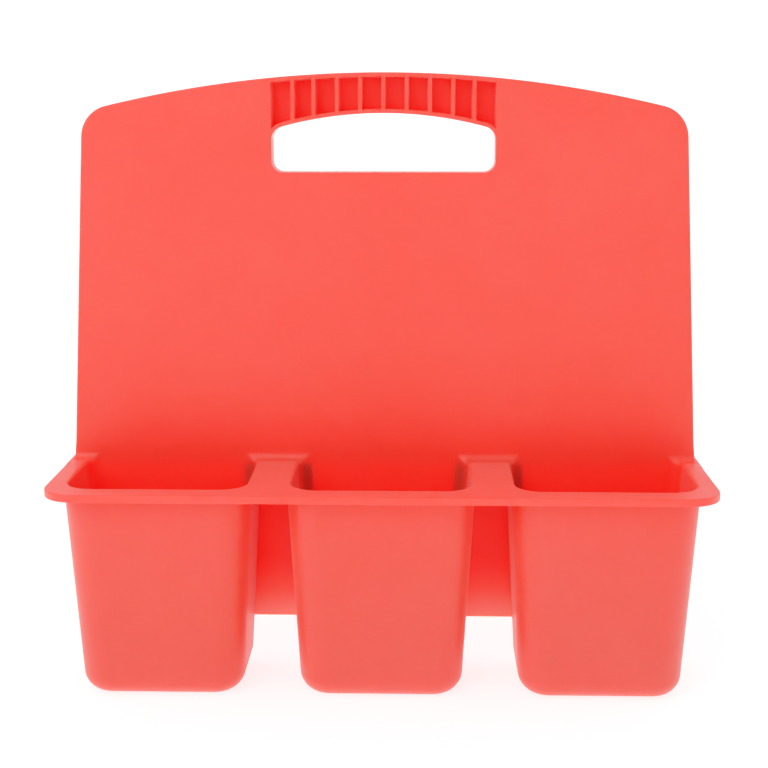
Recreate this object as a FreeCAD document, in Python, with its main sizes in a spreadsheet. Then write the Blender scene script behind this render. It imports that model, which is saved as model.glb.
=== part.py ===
import FreeCAD, Part
import math
import os

import Sketcher
from FreeCAD import Placement, Rotation, Vector

# Cleaning caddy: a tall back panel with a ribbed hand grip, a deck with three
# tapered cups hanging from it, and a rim round the deck. The real object is one
# thin-walled moulding, so its functional members meet face to face here.
#
# Frame: millimetres, +X right, +Y to the back, +Z up. The origin lies on the
# floor below the centre of the rim.

DOC = FreeCAD.newDocument("cleaning_caddy")

# name, value, what it sets
SIZES = (
    ("rim_width", 300.0, "outside width of the rim"),
    ("rim_depth", 78.0, "outside depth of the rim"),
    ("rim_corner", 15.5, "front corners of the rim, seen from above"),
    ("rim_rear_corner", 6.0, "rear corners of the rim, seen from above"),
    ("lip_height", 3.6, "height of the rim's edge"),
    ("lip_round", 0.7, "rounding of the rim's upper edge"),
    ("wall", 2.0, "wall of the panel, the deck, the rim and the cups"),
    ("deck_top", 100.0, "height of the deck's upper face"),
    ("panel_set_back", 65.5, "from the rim's front to the panel's front face"),
    ("cup_pitch", 100.7, "from one cup's middle to the next"),
    ("cup_mouth", 81.0, "clear width of a cup at the deck"),
    ("cup_front_margin", 11.5, "from the rim's front to a cup's inner front wall"),
    ("cup_front_corner", 12.3, "inner front corners of a cup"),
    ("cup_rear_corner", 6.5, "inner rear corners of a cup"),
    ("cup_side_draft", 3.2, "taper of a cup's side walls, degrees"),
    ("cup_front_draft", 2.7, "taper of a cup's front wall, degrees"),
    ("cup_foot_round", 10.0, "rounding under a cup"),
    ("mouth_round", 1.5, "rounding of the deck's edge round a cup"),
    ("root_round", 5.0, "cove between the deck and the panel"),
    ("root_height", 6.0, "height of the panel's root, which the deck carries"),
    ("web_foot", 21.8, "height of the lower edge of the wall between the cups"),
    ("panel_base", 296.0, "width of the panel at the deck"),
    ("panel_lean", 3.25, "lean of the panel's sides, degrees"),
    ("panel_top", 281.6, "height of the crown of the panel"),
    ("panel_crown", 550.0, "radius of the panel's upper edge"),
    ("panel_corner", 15.0, "upper corners of the panel"),
    ("panel_edge_round", 0.9, "rounding of the panel's front edges"),
    ("hole_width", 103.0, "width of the hand hole"),
    ("hole_foot", 236.4, "height of the hand hole's lower edge"),
    ("hole_crown", 182.0, "radius of the hand hole's upper edge"),
    ("hole_top", 263.25, "height of the hand hole at its middle"),
    ("hole_upper_corner", 6.0, "upper corners of the hand hole"),
    ("hole_lower_corner", 5.0, "lower corners of the hand hole"),
    ("grip_wall", 1.7, "wall of the collar and of the grip's ribs"),
    ("rib_pitch", 10.65, "from one grip rib to the next"),
    ("outer_rib", 41.6, "from the middle of the grip to its outermost rib"),
)

SHEET = DOC.addObject("Spreadsheet::Sheet", "sizes")
for row, (alias, number, meaning) in enumerate(SIZES, start=1):
    SHEET.set(f"A{row}", alias)
    SHEET.set(f"B{row}", str(number))
    SHEET.set(f"C{row}", meaning)
    SHEET.setAlias(f"B{row}", alias)
DOC.recompute()


def size(alias):
    """A driving dimension, read from the sheet."""
    return float(SHEET.get(alias))


# Places that several sub-parts share, as formulas on the sheet.
FRONT = "(-sizes.rim_depth / 2)"
BACK = "(sizes.rim_depth / 2)"
PANEL_FACE = "(sizes.panel_set_back - sizes.rim_depth / 2)"
PANEL_BACK = "(sizes.panel_set_back - sizes.rim_depth / 2 + sizes.wall)"
DECK_UNDERSIDE = "(sizes.deck_top - sizes.wall)"
ROOT_TOP = "(sizes.deck_top + sizes.root_height)"
MOUTH_FRONT = "(sizes.cup_front_margin - sizes.rim_depth / 2)"
GRIP_HALF = "(sizes.hole_width / 2)"

START = 1
END = 2
CENTRE = 3
ORIGIN = (-1, 1)


def value(formula):
    """What a formula on the sheet comes to."""
    total = SHEET.evalExpression(formula)
    if total is None:
        raise ValueError(f"{formula} gives nothing")
    return float(getattr(total, "Value", total))


def new_body(label):
    body = DOC.addObject("PartDesign::Body", label)
    body.Label = label
    return body


def origin_plane(body, role):
    return next(item for item in body.Origin.OriginFeatures if item.Role == role)


def new_sketch(body, name, role, offset):
    """A sketch on one of the body's own origin planes, moved along its normal."""
    sketch = body.newObject("Sketcher::SketchObject", name)
    sketch.AttachmentSupport = [(origin_plane(body, role), "")]
    sketch.MapMode = "FlatFace"
    sketch.AttachmentOffset = Placement(Vector(0, 0, value(offset)), Rotation())
    sketch.setExpression("AttachmentOffset.Base.z", offset)
    return sketch


def level_sketch(body, name, height):
    """A sketch seen from above, at a height."""
    return new_sketch(body, name, "XY_Plane", height)


def upright_sketch(body, name, depth):
    """A sketch seen from the front, in X and Z, at a depth along Y."""
    return new_sketch(body, name, "XZ_Plane", f"-1 * {depth}")


def bind(sketch, constraint, name, formula):
    """Adds a driving dimension and binds it to the sheet."""
    index = sketch.addConstraint(constraint)
    sketch.renameConstraint(index, name)
    sketch.setExpression(f"Constraints.{name}", formula)


def pin(sketch, kind, name, point, place, formula):
    """Holds a point at a signed distance from the sketch's origin."""
    if place >= 0:
        ends = (*ORIGIN, *point)
    else:
        ends = (*point, *ORIGIN)
        formula = f"-1 * {formula}"
    bind(sketch, Sketcher.Constraint(kind, *ends, abs(place)), name, formula)


def pin_x(sketch, name, point, formula):
    pin(sketch, "DistanceX", name, point, value(formula), formula)


def pin_y(sketch, name, point, formula):
    pin(sketch, "DistanceY", name, point, value(formula), formula)


def arc(centre, radius, start, end):
    """An arc from start to end degrees, anticlockwise."""
    circle = Part.Circle(Vector(centre[0], centre[1], 0), Vector(0, 0, 1), radius)
    return Part.ArcOfCircle(circle, math.radians(start), math.radians(end))


def line(first, last):
    return Part.LineSegment(Vector(first[0], first[1], 0), Vector(last[0], last[1], 0))


def join(sketch, pieces, sharp=()):
    """Adds a closed chain of pieces. Each joint is smooth unless its piece's number is in sharp."""
    numbers = [sketch.addGeometry(piece, False) for piece, _ in pieces]
    for place, number in enumerate(numbers):
        following = (place + 1) % len(numbers)
        out_end = START if pieces[place][1] else END
        in_end = END if pieces[following][1] else START
        kind = "Coincident" if place in sharp else "Tangent"
        sketch.addConstraint(Sketcher.Constraint(kind, number, out_end, numbers[following], in_end))
    return numbers


def rounded_rectangle(sketch, left, right, front, rear, front_radius, rear_radius):
    """Six formulas make a rectangle seen from above, with two sizes of corner."""
    x0, x1, y0, y1 = (value(item) for item in (left, right, front, rear))
    fore, aft = value(front_radius), value(rear_radius)
    pieces = (
        (line((x0 + fore, y0), (x1 - fore, y0)), False),
        (arc((x1 - fore, y0 + fore), fore, 270, 360), False),
        (line((x1, y0 + fore), (x1, y1 - aft)), False),
        (arc((x1 - aft, y1 - aft), aft, 0, 90), False),
        (line((x1 - aft, y1), (x0 + aft, y1)), False),
        (arc((x0 + aft, y1 - aft), aft, 90, 180), False),
        (line((x0, y1 - aft), (x0, y0 + fore)), False),
        (arc((x0 + fore, y0 + fore), fore, 180, 270), False),
    )
    front_line, front_right, right_line, rear_right, rear_line, rear_left, left_line, front_left = join(
        sketch, pieces
    )
    tag = f"r{front_line}"
    for number in (front_line, rear_line):
        sketch.addConstraint(Sketcher.Constraint("Horizontal", number))
    for number in (left_line, right_line):
        sketch.addConstraint(Sketcher.Constraint("Vertical", number))
    sketch.addConstraint(Sketcher.Constraint("Equal", front_left, front_right))
    sketch.addConstraint(Sketcher.Constraint("Equal", rear_left, rear_right))
    bind(sketch, Sketcher.Constraint("Radius", front_left, fore), f"{tag}_front_corner", front_radius)
    bind(sketch, Sketcher.Constraint("Radius", rear_left, aft), f"{tag}_rear_corner", rear_radius)
    pin_x(sketch, f"{tag}_left", (left_line, START), left)
    pin_x(sketch, f"{tag}_right", (right_line, START), right)
    pin_y(sketch, f"{tag}_front", (front_line, START), front)
    pin_y(sketch, f"{tag}_rear", (rear_line, START), rear)


def crown_corner(crown_centre, crown, corner, side):
    """Centre of a corner arc that touches a crown arc inside and a leaning side line.

    side is (half width at height 0, lean): the line x = half width - tan(lean) * height.
    """
    base, lean = side
    slope = math.tan(math.radians(lean))
    # The centre lies a corner's radius inside the side line, and inside the crown.
    reach = base - corner / math.cos(math.radians(lean))
    gap = crown - corner
    # (reach - slope z)^2 + (z - crown_centre)^2 = gap^2
    square = slope * slope + 1
    linear = -2 * (reach * slope + crown_centre)
    constant = reach * reach + crown_centre * crown_centre - gap * gap
    height = (-linear + math.sqrt(linear * linear - 4 * square * constant)) / (2 * square)
    return reach - slope * height, height


def crowned_pieces(base, foot, lean, crown_top, crown, corner):
    """The right side, crown and left side of an arched outline, anticlockwise from the foot."""
    centre_z = crown_top - crown
    slope = math.tan(math.radians(lean))
    cx, cz = crown_corner(centre_z, crown, corner, (base + slope * foot, lean))
    turn = math.degrees(math.atan2(cz - centre_z, cx))
    side_x = cx + corner * math.cos(math.radians(lean))
    side_z = cz + corner * math.sin(math.radians(lean))
    return (
        (line((base, foot), (side_x, side_z)), False),
        (arc((cx, cz), corner, lean, turn), False),
        (arc((0, centre_z), crown, turn, 180 - turn), False),
        (arc((-cx, cz), corner, 180 - turn, 180 - lean), False),
        (line((-side_x, side_z), (-base, foot)), False),
    )


def hold_crown(sketch, numbers, prefix, inset, foot):
    """Binds the five pieces of an arched outline of the panel, a distance inside its edge."""
    right, right_corner, crown, left_corner, left = numbers
    half = f"(sizes.panel_base / 2 - tan(sizes.panel_lean) * ({foot} - sizes.deck_top)"
    half += f" - {inset} / cos(sizes.panel_lean))"
    pin_x(sketch, f"{prefix}_right_foot", (right, START), half)
    pin_x(sketch, f"{prefix}_left_foot", (left, END), f"(-1 * {half})")
    pin_y(sketch, f"{prefix}_right_low", (right, START), foot)
    pin_y(sketch, f"{prefix}_left_low", (left, END), foot)
    sketch.addConstraint(Sketcher.Constraint("PointOnObject", crown, CENTRE, -2))
    pin_y(sketch, f"{prefix}_crown_centre", (crown, CENTRE), "(sizes.panel_top - sizes.panel_crown)")
    bind(
        sketch,
        Sketcher.Constraint("Radius", crown, value(f"sizes.panel_crown - {inset}")),
        f"{prefix}_crown",
        f"sizes.panel_crown - {inset}",
    )
    bind(
        sketch,
        Sketcher.Constraint("Radius", right_corner, value(f"sizes.panel_corner - {inset}")),
        f"{prefix}_corner",
        f"sizes.panel_corner - {inset}",
    )
    sketch.addConstraint(Sketcher.Constraint("Equal", right_corner, left_corner))


def panel_side(foot, inset):
    """Half the panel's width at a height, a distance inside its edge."""
    lean = math.radians(size("panel_lean"))
    return (
        size("panel_base") / 2
        - math.tan(lean) * (foot - size("deck_top"))
        - inset / math.cos(lean)
    )


def panel_pieces(foot, inset):
    return crowned_pieces(
        panel_side(foot, inset),
        foot,
        size("panel_lean"),
        size("panel_top") - inset,
        size("panel_crown") - inset,
        size("panel_corner") - inset,
    )


def panel_outline(sketch, foot_formula, inset="(0 * sizes.wall)"):
    """The panel seen from the front, standing on a level foot, a distance inside its edge."""
    foot, inside = value(foot_formula), value(inset)
    half = panel_side(foot, inside)
    pieces = ((line((-half, foot), (half, foot)), False), *panel_pieces(foot, inside))
    numbers = join(sketch, pieces, sharp=(0, 5))
    hold_crown(sketch, numbers[1:], "panel", inset, foot_formula)


def hand_hole(sketch, prefix, outset):
    """The hand hole seen from the front, a distance outside its edge."""
    extra = value(outset)
    half = size("hole_width") / 2 + extra
    foot = size("hole_foot") - extra
    low = size("hole_lower_corner") + extra
    high = size("hole_upper_corner") + extra
    crown = size("hole_crown") + extra
    top = size("hole_top") + extra
    side = crowned_pieces(half, foot + low, 0.0, top, crown, high)
    pieces = (
        (line((low - half, foot), (half - low, foot)), False),
        (arc((half - low, foot + low), low, 270, 360), False),
        *side,
        (arc((low - half, foot + low), low, 180, 270), False),
    )
    numbers = join(sketch, pieces)
    bottom, low_right, right, high_right, arch, high_left, left, low_left = numbers
    sketch.addConstraint(Sketcher.Constraint("Horizontal", bottom))
    for number in (right, left):
        sketch.addConstraint(Sketcher.Constraint("Vertical", number))
    for pair in ((low_left, low_right), (high_left, high_right)):
        sketch.addConstraint(Sketcher.Constraint("Equal", *pair))
    sketch.addConstraint(Sketcher.Constraint("PointOnObject", arch, CENTRE, -2))
    pin_x(sketch, f"{prefix}_right", (right, START), f"(sizes.hole_width / 2 + {outset})")
    pin_x(sketch, f"{prefix}_left", (left, START), f"(-1 * (sizes.hole_width / 2 + {outset}))")
    pin_y(sketch, f"{prefix}_foot", (bottom, START), f"(sizes.hole_foot - {outset})")
    pin_y(sketch, f"{prefix}_arch", (arch, CENTRE), "(sizes.hole_top - sizes.hole_crown)")
    for name, number, alias in (
        ("low", low_right, "hole_lower_corner"),
        ("high", high_right, "hole_upper_corner"),
        ("crown", arch, "hole_crown"),
    ):
        formula = f"sizes.{alias} + {outset}"
        bind(sketch, Sketcher.Constraint("Radius", number, value(formula)), f"{prefix}_{name}", formula)


def grip_window(sketch):
    """The grip seen from the front: under the crown, over the hand hole's collar."""
    half = value(GRIP_HALF)
    collar = size("grip_wall")
    roof = size("panel_crown") - size("wall")
    roof_centre = size("panel_top") - size("panel_crown")
    arch = size("hole_crown") + collar
    arch_centre = size("hole_top") - size("hole_crown")
    shoulder = size("hole_upper_corner") + collar
    cx, cz = crown_corner(arch_centre, arch, shoulder, (half + collar, 0.0))
    roof_turn = math.degrees(math.acos(half / roof))
    roof_z = roof_centre + roof * math.sin(math.radians(roof_turn))
    low_turn = math.degrees(math.acos((half - cx) / shoulder))
    low_z = cz + shoulder * math.sin(math.radians(low_turn))
    arch_turn = math.degrees(math.atan2(cz - arch_centre, cx))
    pieces = (
        (line((half, low_z), (half, roof_z)), False),
        (arc((0, roof_centre), roof, roof_turn, 180 - roof_turn), False),
        (line((-half, roof_z), (-half, low_z)), False),
        (arc((-cx, cz), shoulder, 180 - arch_turn, 180 - low_turn), True),
        (arc((0, arch_centre), arch, arch_turn, 180 - arch_turn), True),
        (arc((cx, cz), shoulder, low_turn, arch_turn), True),
    )
    right, top, left, left_shoulder, bottom, right_shoulder = join(sketch, pieces, sharp=(0, 1, 2, 5))
    for number in (right, left):
        sketch.addConstraint(Sketcher.Constraint("Vertical", number))
    for number in (top, bottom):
        sketch.addConstraint(Sketcher.Constraint("PointOnObject", number, CENTRE, -2))
    sketch.addConstraint(Sketcher.Constraint("Equal", left_shoulder, right_shoulder))
    pin_x(sketch, "grip_right", (right, START), GRIP_HALF)
    pin_x(sketch, "grip_left", (left, START), f"(-1 * {GRIP_HALF})")
    pin_y(sketch, "grip_roof_centre", (top, CENTRE), "(sizes.panel_top - sizes.panel_crown)")
    pin_y(sketch, "grip_arch_centre", (bottom, CENTRE), "(sizes.hole_top - sizes.hole_crown)")
    shoulder_place = "(sizes.hole_width / 2 - sizes.hole_upper_corner)"
    pin_x(sketch, "grip_shoulder_left", (left_shoulder, CENTRE), f"(-1 * {shoulder_place})")
    pin_x(sketch, "grip_shoulder_right", (right_shoulder, CENTRE), shoulder_place)
    for name, number, formula in (
        ("roof", top, "sizes.panel_crown - sizes.wall"),
        ("arch", bottom, "sizes.hole_crown + sizes.grip_wall"),
        ("shoulder", right_shoulder, "sizes.hole_upper_corner + sizes.grip_wall"),
    ):
        bind(sketch, Sketcher.Constraint("Radius", number, value(formula)), f"grip_{name}", formula)


def pad(body, sketch, name, length, backwards=False):
    """Pads a sketch. An upright sketch faces the front, so backwards takes it to +Y."""
    feature = body.newObject("PartDesign::Pad", name)
    feature.Profile = sketch
    feature.Length = value(length)
    feature.setExpression("Length", length)
    feature.Reversed = backwards
    DOC.recompute()
    return feature


def pocket(body, sketch, name, length, backwards=False):
    """Cuts a sketch and makes sure that something was cut."""
    before = body.Shape.Volume
    feature = body.newObject("PartDesign::Pocket", name)
    feature.Profile = sketch
    feature.Length = value(length)
    feature.setExpression("Length", length)
    feature.Reversed = backwards
    DOC.recompute()
    if not body.Shape.Volume < before - 1:
        raise RuntimeError(f"{name} cuts nothing")
    return feature


def fillet(body, name, radius, chosen):
    """Rounds the edges of the body's last feature for which chosen(edge) is true."""
    base = body.Tip
    names = [f"Edge{number}" for number, edge in enumerate(base.Shape.Edges, start=1) if chosen(edge)]
    if not names:
        raise RuntimeError(f"{name} finds no edge")
    feature = body.newObject("PartDesign::Fillet", name)
    feature.Base = (base, names)
    feature.Radius = value(radius)
    feature.setExpression("Radius", radius)
    DOC.recompute()
    return feature


def near(number, target):
    return abs(number - target) < 0.01


def level_at(edge, height):
    box = edge.BoundBox
    return near(box.ZMin, height) and near(box.ZMax, height)


def upright_at(edge, depth):
    box = edge.BoundBox
    return near(box.YMin, depth) and near(box.YMax, depth)


def make_rim_lip():
    """The rim: a closed band round the deck, with a rounded upper edge."""
    body = new_body("rim_lip")
    base = "(sizes.deck_top - sizes.lip_height)"
    sketch = level_sketch(body, "rim_outline", base)
    half = "(sizes.rim_width / 2)"
    rounded_rectangle(
        sketch, f"(-1 * {half})", half, FRONT, BACK, "sizes.rim_corner", "sizes.rim_rear_corner"
    )
    inner = f"({half} - sizes.wall)"
    rounded_rectangle(
        sketch,
        f"(-1 * {inner})",
        inner,
        f"({FRONT} + sizes.wall)",
        f"({BACK} - sizes.wall)",
        "(sizes.rim_corner - sizes.wall)",
        "(sizes.rim_rear_corner - sizes.wall)",
    )
    pad(body, sketch, "rim_band", "sizes.lip_height")
    top = size("deck_top")
    reach = size("rim_width") / 2 - size("wall") / 2

    def outer_top(edge):
        box = edge.BoundBox
        outside = max(abs(box.XMin), abs(box.XMax)) > reach
        outside = outside or max(abs(box.YMin), abs(box.YMax)) > value(BACK) - 0.5
        return level_at(edge, top) and outside

    fillet(body, "rim_round", "sizes.lip_round", outer_top)
    return body


def make_deck():
    """The deck inside the rim, with the panel's root, a cove in front of it, and the three mouths."""
    body = new_body("deck")
    plate = level_sketch(body, "deck_outline", DECK_UNDERSIDE)
    half = "(sizes.rim_width / 2 - sizes.wall)"
    rounded_rectangle(
        plate,
        f"(-1 * {half})",
        half,
        f"({FRONT} + sizes.wall)",
        f"({BACK} - sizes.wall)",
        "(sizes.rim_corner - sizes.wall)",
        "(sizes.rim_rear_corner - sizes.wall)",
    )
    pad(body, plate, "deck_plate", "sizes.wall")

    root = upright_sketch(body, "root_outline", PANEL_FACE)
    foot = size("deck_top")
    top = value(ROOT_TOP)
    low, high = panel_side(foot, 0), panel_side(top, 0)
    pieces = (
        (line((-low, foot), (low, foot)), False),
        (line((low, foot), (high, top)), False),
        (line((high, top), (-high, top)), False),
        (line((-high, top), (-low, foot)), False),
    )
    bottom, right, upper, left = join(root, pieces, sharp=(0, 1, 2, 3))
    for number in (bottom, upper):
        root.addConstraint(Sketcher.Constraint("Horizontal", number))
    high_formula = "(sizes.panel_base / 2 - tan(sizes.panel_lean) * sizes.root_height)"
    pin_x(root, "root_left_low", (bottom, START), "(-1 * sizes.panel_base / 2)")
    pin_x(root, "root_right_low", (bottom, END), "(sizes.panel_base / 2)")
    pin_x(root, "root_right_high", (upper, START), high_formula)
    pin_x(root, "root_left_high", (upper, END), f"(-1 * {high_formula})")
    pin_y(root, "root_foot", (bottom, START), "sizes.deck_top")
    pin_y(root, "root_top", (upper, START), ROOT_TOP)
    pad(body, root, "panel_root", "sizes.wall", backwards=True)

    face = value(PANEL_FACE)
    fillet(
        body,
        "root_cove",
        "sizes.root_round",
        lambda edge: level_at(edge, foot) and upright_at(edge, face) and edge.Length > 100,
    )

    mouths = level_sketch(body, "mouth_outlines", DECK_UNDERSIDE)
    for middle in ("(-1 * sizes.cup_pitch)", "(0 * sizes.cup_pitch)", "sizes.cup_pitch"):
        rounded_rectangle(
            mouths,
            f"({middle} - sizes.cup_mouth / 2)",
            f"({middle} + sizes.cup_mouth / 2)",
            MOUTH_FRONT,
            PANEL_FACE,
            "sizes.cup_front_corner",
            "sizes.cup_rear_corner",
        )
    pocket(body, mouths, "mouths", "sizes.wall + sizes.root_height", backwards=True)
    rounded_to = face - size("cup_rear_corner") + 0.1
    rounded_from = value(MOUTH_FRONT) - 0.1
    outermost = size("cup_pitch") + size("cup_mouth") / 2 + 0.1

    def mouth_edge(edge):
        """The front and side edges of a mouth, and not its rear corners, which run into the cove."""
        box = edge.BoundBox
        within = box.YMin > rounded_from and box.YMax < rounded_to
        return level_at(edge, foot) and within and max(-box.XMin, box.XMax) < outermost

    fillet(body, "mouth_round", "sizes.mouth_round", mouth_edge)
    return body


def cup_section(sketch, drop, outset):
    """A cup's outline seen from above, a drop below the deck, outset from its clear space."""
    half = f"(sizes.cup_mouth / 2 - tan(sizes.cup_side_draft) * {drop} + {outset})"
    rounded_rectangle(
        sketch,
        f"(-1 * {half})",
        half,
        f"({MOUTH_FRONT} + tan(sizes.cup_front_draft) * {drop} - {outset})",
        f"({PANEL_FACE} + {outset})",
        f"(sizes.cup_front_corner + {outset})",
        f"(sizes.cup_rear_corner + {outset})",
    )


def cup_block(label, side, outset, foot_height, foot_round):
    """A tapered block with a rounded foot: a cup's outside, or its clear space."""
    body = new_body(label)
    body.setExpression("Placement.Base.x", f"{side} * sizes.cup_pitch")
    mouth = level_sketch(body, f"{label}_mouth", DECK_UNDERSIDE)
    cup_section(mouth, "(0 * sizes.wall)", outset)
    foot = level_sketch(body, f"{label}_foot", foot_height)
    cup_section(foot, f"({DECK_UNDERSIDE} - {foot_height})", outset)
    loft = body.newObject("PartDesign::AdditiveLoft", f"{label}_taper")
    loft.Profile = mouth
    loft.Sections = [foot]
    loft.Ruled = True
    DOC.recompute()
    level = value(foot_height)
    fillet(body, f"{label}_round", foot_round, lambda edge: level_at(edge, level))
    return body


def make_cup(label, side):
    """A tapered cup, open at the top, with a rounded foot. side is -1, 0 or 1."""
    outset, inset = "sizes.wall", "(0 * sizes.wall)"
    floor, inner_floor = "(0 * sizes.wall)", "(1 * sizes.wall)"
    foot, inner_foot = "sizes.cup_foot_round", "(sizes.cup_foot_round - sizes.wall)"
    cup = DOC.addObject("Part::Cut", label)
    cup.Label = label
    cup.Base = cup_block(f"{label}_outside", side, outset, floor, foot)
    cup.Tool = cup_block(f"{label}_inside", side, inset, inner_floor, inner_foot)
    DOC.recompute()
    return cup


def make_web(cups):
    """The two strips of back wall that hang between the cups and end against their outsides."""
    strips = new_body("web_strips")
    sketch = upright_sketch(strips, "web_outline", PANEL_FACE)
    foot, top = size("web_foot"), value(DECK_UNDERSIDE)
    # Each strip is drawn from the middle of one cup's rear corner to the middle of the next one's.
    near_formula = "(sizes.cup_mouth / 2 - sizes.cup_rear_corner)"
    far_formula = f"(sizes.cup_pitch - {near_formula})"
    close, distant = value(near_formula), value(far_formula)
    for side, word in ((-1, "left"), (1, "right")):
        pieces = (
            (line((side * close, foot), (side * distant, foot)), False),
            (line((side * distant, foot), (side * distant, top)), False),
            (line((side * distant, top), (side * close, top)), False),
            (line((side * close, top), (side * close, foot)), False),
        )
        bottom, far_side, upper, near_side = join(sketch, pieces, sharp=(0, 1, 2, 3))
        for number in (bottom, upper):
            sketch.addConstraint(Sketcher.Constraint("Horizontal", number))
        for number in (far_side, near_side):
            sketch.addConstraint(Sketcher.Constraint("Vertical", number))
        pin_x(sketch, f"{word}_near", (bottom, START), f"({side} * {near_formula})")
        pin_x(sketch, f"{word}_far", (bottom, END), f"({side} * {far_formula})")
        pin_y(sketch, f"{word}_foot", (bottom, START), "sizes.web_foot")
        pin_y(sketch, f"{word}_top", (upper, START), DECK_UNDERSIDE)
    pad(strips, sketch, "web_pad", "sizes.wall", backwards=True)
    solids = DOC.addObject("Part::Compound", "cup_solids")
    solids.Links = [cup.Base for cup in cups]
    web = DOC.addObject("Part::Cut", "web")
    web.Label = "web"
    web.Base = strips
    web.Tool = solids
    DOC.recompute()
    return web


def make_back_panel():
    """The upper panel's plate, with the hand hole and the window of the grip."""
    body = new_body("back_panel")
    sketch = upright_sketch(body, "panel_outline", PANEL_FACE)
    panel_outline(sketch, ROOT_TOP)
    pad(body, sketch, "panel_plate", "sizes.wall", backwards=True)
    hole = upright_sketch(body, "hole_outline", PANEL_FACE)
    hand_hole(hole, "hole", "(0 * sizes.wall)")
    pocket(body, hole, "hand_hole", "sizes.wall")
    window = upright_sketch(body, "window_outline", PANEL_FACE)
    grip_window(window)
    pocket(body, window, "grip_window", "sizes.wall")
    face = value(PANEL_FACE)
    foot = value(ROOT_TOP)
    inner_half = size("hole_width") / 2 + 1

    def outer_front(edge):
        box = edge.BoundBox
        outside = max(abs(box.XMin), abs(box.XMax)) > inner_half
        return upright_at(edge, face) and outside and not level_at(edge, foot)

    fillet(body, "panel_front_round", "sizes.panel_edge_round", outer_front)
    return body


def make_panel_flange():
    """The return edge behind the panel, from the deck up one side, over the crown and down."""
    body = new_body("panel_flange")
    sketch = upright_sketch(body, "flange_outline", PANEL_BACK)
    foot = size("deck_top")
    wall = size("wall")
    outer = panel_pieces(foot, 0)
    inner = [(piece, True) for piece, _ in reversed(panel_pieces(foot, wall))]
    half_out, half_in = panel_side(foot, 0), panel_side(foot, wall)
    pieces = (
        *outer,
        (line((-half_out, foot), (-half_in, foot)), False),
        *inner,
        (line((half_in, foot), (half_out, foot)), False),
    )
    numbers = join(sketch, pieces, sharp=(4, 5, 10, 11))
    hold_crown(sketch, numbers[:5], "outer", "0", "sizes.deck_top")
    hold_crown(sketch, numbers[10:5:-1], "inner", "sizes.wall", "sizes.deck_top")
    pad(body, sketch, "flange_band", f"{BACK} - {PANEL_BACK}", backwards=True)
    return body


def make_collar():
    """The wall round the hand hole, behind the plate."""
    body = new_body("hand_hole_collar")
    sketch = upright_sketch(body, "collar_outline", PANEL_BACK)
    hand_hole(sketch, "inner", "(0 * sizes.wall)")
    hand_hole(sketch, "outer", "sizes.grip_wall")
    pad(body, sketch, "collar_band", f"{BACK} - {PANEL_BACK}", backwards=True)
    return body


def make_grip_back():
    """The plate that closes the grip's pockets at the back."""
    body = new_body("grip_back")
    sketch = upright_sketch(body, "grip_back_outline", f"({BACK} - sizes.wall)")
    grip_window(sketch)
    pad(body, sketch, "grip_plate", "sizes.wall", backwards=True)
    return body


def upright_bars(label, places, width, front, depth, low):
    """Bars of one width, seen from the front, from a low height to the top of the panel."""
    bars = []
    for number, place in enumerate(places, start=1):
        bar = DOC.addObject("Part::Box", f"{label}_{number}")
        bar.setExpression("Length", width)
        bar.setExpression("Width", depth)
        bar.setExpression("Height", f"sizes.panel_top - {low}")
        bar.setExpression("Placement.Base.x", f"{place} - {width} / 2")
        bar.setExpression("Placement.Base.y", front)
        bar.setExpression("Placement.Base.z", low)
        bars.append(bar)
    row = DOC.addObject("Part::Compound", label)
    row.Links = bars
    return row


def make_grip_ribs():
    """Nine ribs between the grip's pockets, from the plate's face to the grip's back."""
    depth = f"({BACK} - sizes.wall - {PANEL_FACE})"
    space = new_body("grip_space")
    sketch = upright_sketch(space, "grip_space_outline", PANEL_FACE)
    grip_window(sketch)
    pad(space, sketch, "grip_space_pad", depth, backwards=True)
    places = ["0 * sizes.rib_pitch"]
    for side in (-1, 1):
        places += [f"{side * count} * sizes.rib_pitch" for count in (1, 2, 3)]
        places.append(f"{side} * sizes.outer_rib")
    ribs = DOC.addObject("Part::Common", "grip_ribs")
    ribs.Label = "grip_ribs"
    ribs.Base = upright_bars("rib_bars", places, "sizes.grip_wall", PANEL_FACE, depth, "sizes.hole_foot")
    ribs.Tool = space
    DOC.recompute()
    return ribs


def make_grip_ends():
    """The two end walls of the grip, behind the plate, between the collar and the flange."""
    depth = f"({BACK} - {PANEL_BACK})"
    within = new_body("flange_space")
    outline = upright_sketch(within, "flange_space_outline", PANEL_BACK)
    panel_outline(outline, ROOT_TOP, "sizes.wall")
    pad(within, outline, "flange_space_pad", depth, backwards=True)
    collar = new_body("collar_space")
    around = upright_sketch(collar, "collar_space_outline", PANEL_BACK)
    hand_hole(around, "outer", "sizes.grip_wall")
    pad(collar, around, "collar_space_pad", depth, backwards=True)
    # The bars start over the hole's lower corners, beside its straight sides.
    low = "(sizes.hole_foot + 2 * sizes.hole_lower_corner)"
    middle = "(sizes.hole_width / 2 + sizes.grip_wall / 2)"
    places = [f"{side} * {middle}" for side in (-1, 1)]
    kept = DOC.addObject("Part::Common", "grip_ends_under_crown")
    kept.Base = upright_bars("end_bars", places, "sizes.grip_wall", PANEL_BACK, depth, low)
    kept.Tool = within
    ends = DOC.addObject("Part::Cut", "grip_ends")
    ends.Label = "grip_ends"
    ends.Base = kept
    ends.Tool = collar
    DOC.recompute()
    return ends


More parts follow.
